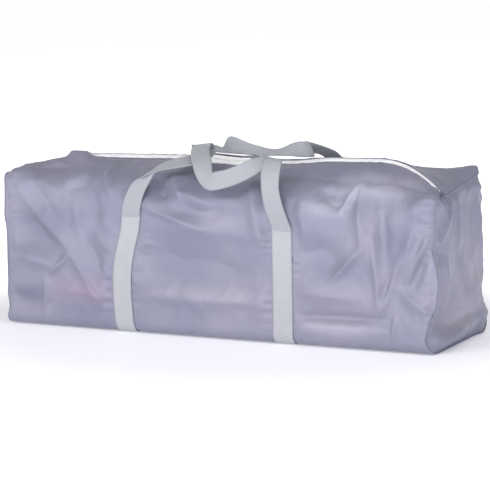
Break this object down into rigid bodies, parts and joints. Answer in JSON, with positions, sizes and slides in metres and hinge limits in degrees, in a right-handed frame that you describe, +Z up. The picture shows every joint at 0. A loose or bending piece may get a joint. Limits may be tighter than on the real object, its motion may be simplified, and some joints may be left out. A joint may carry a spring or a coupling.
{
  "type": "packed folding playpen",
  "caption": "Folding playpen packed in its long soft carry bag, with a zip along the top, sewn webbing bands and a pair of loop handles.",
  "frame": {"origin": "middle of the ground under the bag", "axes": "+X along the bag towards the end panel that faces the viewer, -Y is the front, +Z up"},
  "size_m": [0.798, 0.286, 0.3222],
  "materials": {
    "bag_fabric": "thin lavender-grey taffeta",
    "webbing": "pale grey ribbed webbing",
    "zip_tape": "white woven tape",
    "zip_coil": "white nylon coil",
    "zip_end_tab": "folded tape",
    "zip_slider_enamel": "pale enamel",
    "printed_mattress_cloth": "pink printed cotton",
    "hook_and_loop_strap": "hook-and-loop tape",
    "frame_tube": "powder coat",
    "frame_plastic": "moulded, fine grain",
    "wall_cloth": "mesh and cloth"
  },
  "bodies": {
    "root": {"body_panel": "bag_fabric", "left_end_panel": "bag_fabric", "right_end_panel": "bag_fabric", "front_zip_tape": "zip_tape", "rear_zip_tape": "zip_tape", "front_zip_teeth": "zip_coil", "rear_zip_teeth": "zip_coil", "left_zip_end": "zip_end_tab", "right_zip_end": "zip_end_tab", "left_webbing_band": "webbing", "right_webbing_band": "webbing", "mattress_base_board": "printed_mattress_cloth", "mattress_front_board": "printed_mattress_cloth", "mattress_rear_board": "printed_mattress_cloth", "mattress_top_board": "printed_mattress_cloth", "left_mattress_strap": "hook_and_loop_strap", "right_mattress_strap": "hook_and_loop_strap", "front_low_post": "frame_tube", "front_low_long_rail": "frame_tube", "front_low_short_rail": "frame_tube", "front_low_floor_leg": "frame_tube", "front_low_top_corner": "frame_plastic", "front_low_foot": "frame_plastic", "rear_low_post": "frame_tube", "rear_low_long_rail": "frame_tube", "rear_low_short_rail": "frame_tube", "rear_low_floor_leg": "frame_tube", "rear_low_top_corner": "frame_plastic", "rear_low_foot": "frame_plastic", "front_high_post": "frame_tube", "front_high_long_rail": "frame_tube", "front_high_short_rail": "frame_tube", "front_high_floor_leg": "frame_tube", "front_high_top_corner": "frame_plastic", "front_high_foot": "frame_plastic", "rear_high_post": "frame_tube", "rear_high_long_rail": "frame_tube", "rear_high_short_rail": "frame_tube", "rear_high_floor_leg": "frame_tube", "rear_high_top_corner": "frame_plastic", "rear_high_foot": "frame_plastic", "low_long_rail_lock": "frame_plastic", "high_long_rail_lock": "frame_plastic", "front_short_rail_lock": "frame_plastic", "rear_short_rail_lock": "frame_plastic", "floor_hub": "frame_plastic", "low_folded_wall": "wall_cloth", "high_folded_wall": "wall_cloth", "front_folded_wall": "wall_cloth", "rear_folded_wall": "wall_cloth"},
    "zip_slider": {"zip_slider": "zip_slider_enamel"},
    "zip_pull": {"zip_pull": "zip_slider_enamel"},
    "front_handle": {"front_handle": "webbing"},
    "rear_handle": {"rear_handle": "webbing"}
  },
  "joints": [
    {"name": "zip_slide", "type": "slide", "parent": "root", "child": "zip_slider", "axis": [0.9999, 0, 0.0156], "range_m": [0, 0.536]},
    {"name": "pull_flip", "type": "hinge", "parent": "zip_slider", "child": "zip_pull", "pos_m": [-0.30006, -0.00188, 0.29192], "axis": [-0.0074, 0.8823, 0.4706], "range_deg": [0, 170]},
    {"name": "front_handle_swing", "type": "hinge", "parent": "root", "child": "front_handle", "pos_m": [-0.1465, -0.1298, 0.206], "axis": [0.9991, 0, -0.0434], "range_deg": [0, 150]},
    {"name": "rear_handle_swing", "type": "hinge", "parent": "root", "child": "rear_handle", "pos_m": [-0.1465, 0.1298, 0.206], "axis": [-0.9991, 0, 0.0434], "range_deg": [0, 150]}
  ]
}
